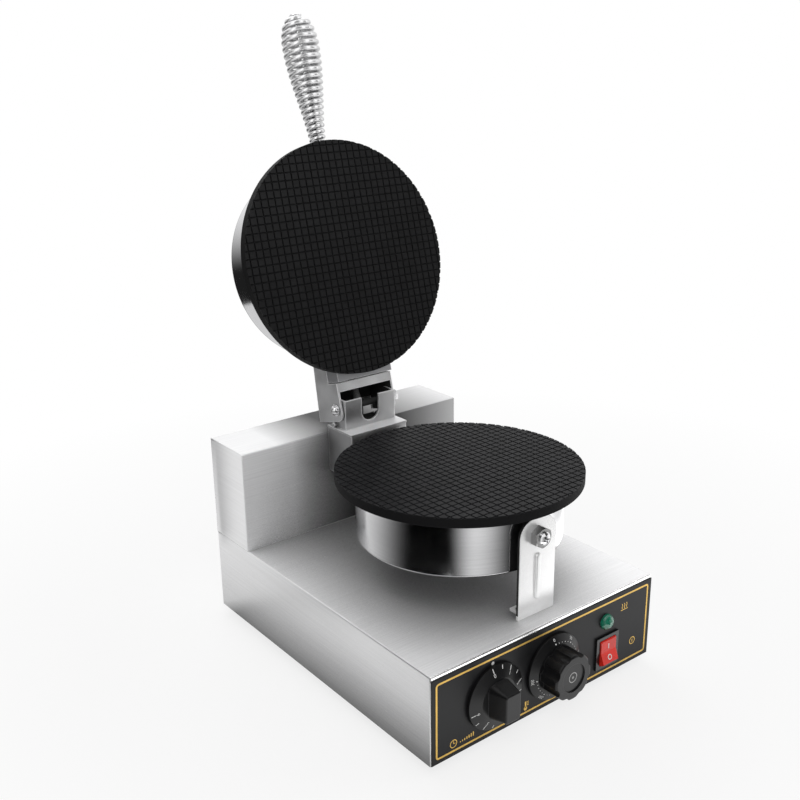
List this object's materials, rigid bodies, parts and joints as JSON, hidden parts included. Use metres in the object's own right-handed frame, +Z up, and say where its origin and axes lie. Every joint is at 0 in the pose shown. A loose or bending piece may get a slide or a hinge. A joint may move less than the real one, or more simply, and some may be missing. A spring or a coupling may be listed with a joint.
{
  "type": "waffle cone maker",
  "caption": "Electric waffle cone maker with a steel base, front control panel, fixed lower baking plate, hinged upper baking plate and a wound wire handle, shown open.",
  "frame": {"origin": "on the table, under the middle of the base", "axes": "+Z up, +Y towards the tower at the back, +X to the right seen from the control panel"},
  "size_m": [0.25, 0.3733, 0.5547],
  "materials": {
    "stainless": "brushed stainless sheet",
    "polished_steel": "polished stainless",
    "hinge_steel": "satin stainless",
    "leg_steel": "light satin stainless",
    "block_metal": "bare casting",
    "chrome": "bright plated",
    "screw_steel": "plain steel",
    "coated_plate": "black non-stick coat",
    "panel_print": "satin black print with a gold border",
    "knob_plastic": "satin black",
    "control_metal": "plain brass",
    "control_plastic": "plain moulding",
    "switch_plastic": "gloss black",
    "rocker_red": "gloss red with white marks",
    "lens_green": "clear green",
    "foot_rubber": "matt black",
    "heater_steel": "dull steel tube",
    "insulation": "mineral fibre pad",
    "wire_cover": "dull heat-proof sleeve"
  },
  "bodies": {
    "base": {"base_shell": "stainless", "bottom_plate": "stainless", "bottom_screws": "screw_steel", "channel_screws": "screw_steel", "control_leads": "wire_cover", "cord_gland": "foot_rubber", "cover_screws": "screw_steel", "foot_nuts": "screw_steel", "foot_screws": "screw_steel", "front_leg": "leg_steel", "heater_leads": "wire_cover", "hinge_bracket": "hinge_steel", "hinge_screws": "screw_steel", "hinge_sleeve": "wire_cover", "lamp_body": "control_plastic", "lamp_lens": "lens_green", "leg_foot_screws": "screw_steel", "leg_inner_nut": "chrome", "leg_nut": "chrome", "leg_screw": "chrome", "leg_spacer": "chrome", "lower_drum": "polished_steel", "lower_drum_bolt": "screw_steel", "lower_heater": "heater_steel", "lower_insulation": "insulation", "lower_plate": "coated_plate", "panel_overlay": "panel_print", "pivot_bolt": "chrome", "pivot_nut": "chrome", "pivot_washers": "chrome", "rear_channel": "hinge_steel", "rear_cover": "stainless", "rubber_feet": "foot_rubber", "stop_pins": "chrome", "switch_body": "switch_plastic", "terminal_block": "control_plastic", "thermostat_body": "control_plastic", "thermostat_nut": "control_metal", "thermostat_sensor": "heater_steel", "timer_body": "control_plastic", "timer_nut": "control_metal", "tower_screws": "screw_steel", "tower_shell": "stainless"},
    "lid": {"lid_bracket": "hinge_steel", "lid_block": "block_metal", "arm_screws": "screw_steel", "upper_drum": "polished_steel", "upper_plate": "coated_plate", "upper_heater": "heater_steel", "upper_insulation": "insulation", "upper_drum_bolt": "screw_steel", "handle_rod": "chrome", "handle_coil": "chrome", "handle_collar": "chrome", "handle_nut": "chrome"},
    "timer_dial": {"timer_knob": "knob_plastic", "timer_shaft": "control_metal"},
    "thermostat_dial": {"thermostat_knob": "knob_plastic", "thermostat_shaft": "control_metal"},
    "rocker": {"rocker": "rocker_red"}
  },
  "joints": [
    {"name": "lid_hinge", "type": "hinge", "parent": "base", "child": "lid", "pos_m": [0, 0.088, 0.2082], "axis": [1, 0, 0], "range_deg": [0, 105], "deforming": ["hinge_sleeve"]},
    {"name": "timer_turn", "type": "hinge", "parent": "base", "child": "timer_dial", "pos_m": [-0.062, -0.1598, 0.047], "axis": [0, 1, 0], "range_deg": [0, 300]},
    {"name": "thermostat_turn", "type": "hinge", "parent": "base", "child": "thermostat_dial", "pos_m": [0.0028, -0.1598, 0.047], "axis": [0, 1, 0], "range_deg": [0, 270]},
    {"name": "rocker_tilt", "type": "hinge", "parent": "base", "child": "rocker", "pos_m": [0.0685, -0.1588, 0.0352], "axis": [1, 0, 0], "range_deg": [0, 20]}
  ]
}
